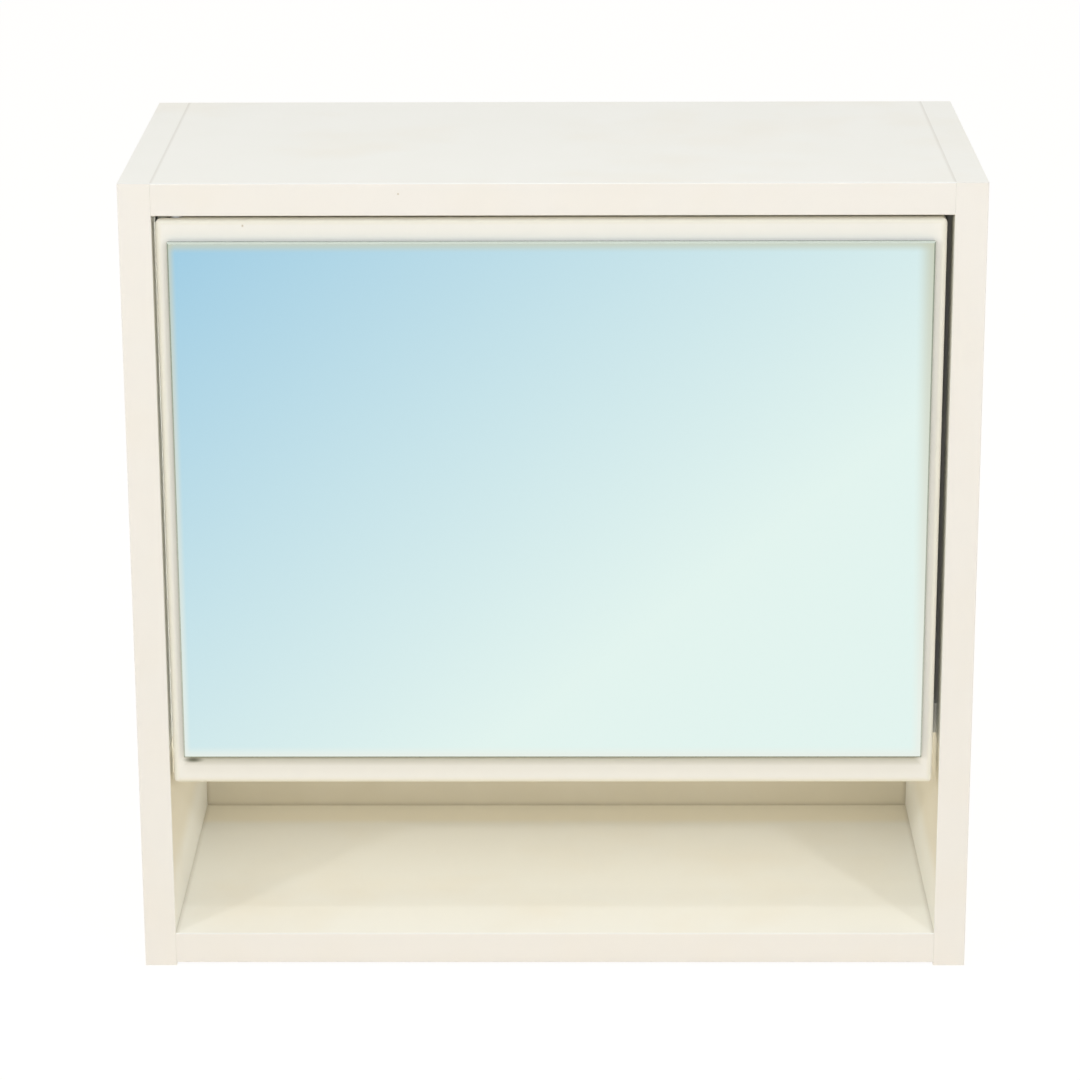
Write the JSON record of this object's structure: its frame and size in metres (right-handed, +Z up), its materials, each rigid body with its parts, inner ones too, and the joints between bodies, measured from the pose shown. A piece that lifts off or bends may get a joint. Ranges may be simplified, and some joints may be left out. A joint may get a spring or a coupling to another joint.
{
  "type": "medicine cabinet",
  "caption": "Wall-hung medicine cabinet with an inset mirrored door on a side pivot hinge and an open shelf below the door.",
  "frame": {"origin": "middle of the two wall-screw holes, on the wall plane", "axes": "+Z up, +Y into the wall, so the mirrored door faces -Y, +X to the right seen from the front"},
  "size_m": [0.5, 0.244, 0.487],
  "materials": {
    "white_board": "off-white foil on particle board, satin",
    "door_lacquer": "off-white lacquer on fibreboard, satin",
    "white_panel": "off-white coated fibreboard, matt",
    "edging": "off-white edging strip, satin",
    "zinc": "zinc-plated and die-cast zinc, dull",
    "steel": "nickel-plated steel",
    "beech": "plain beech",
    "white_plastic": "moulded",
    "ferrite": "sintered, matt",
    "buffer_rubber": "moulded",
    "mirror": "silvered float glass, polished edge",
    "foam_tape": "double-sided foam tape",
    "nylon": "moulded"
  },
  "bodies": {
    "carcass": {"side_left": "white_board", "side_right": "white_board", "top_board": "white_board", "bottom_board": "white_board", "floor_board": "white_board", "back_panel": "white_panel", "hanging_rail": "white_board", "shelf_board": "white_board", "edging_left": "edging", "edging_right": "edging", "edging_top": "edging", "edging_bottom": "edging", "edging_floor": "edging", "edging_shelf": "edging", "cam_housings": "zinc", "cam_bolts": "steel", "dowels": "beech", "shelf_pins": "steel", "pivot_leaf_upper": "steel", "pivot_leaf_lower": "steel", "pivot_pins": "steel", "leaf_screws": "steel", "catch_housing": "white_plastic", "catch_magnet": "ferrite", "catch_poles": "zinc", "catch_screws": "steel", "door_buffer": "buffer_rubber"},
    "door": {"door_panel": "door_lacquer", "mirror_glass": "mirror", "mirror_tapes": "foam_tape", "pivot_bushes": "nylon", "strike_plate": "zinc", "strike_screw": "steel"}
  },
  "joints": [
    {"name": "door_hinge", "type": "hinge", "parent": "carcass", "child": "door", "pos_m": [-0.217, -0.2325, -0.124], "axis": [0, 0, -1], "range_deg": [0, 90]}
  ]
}
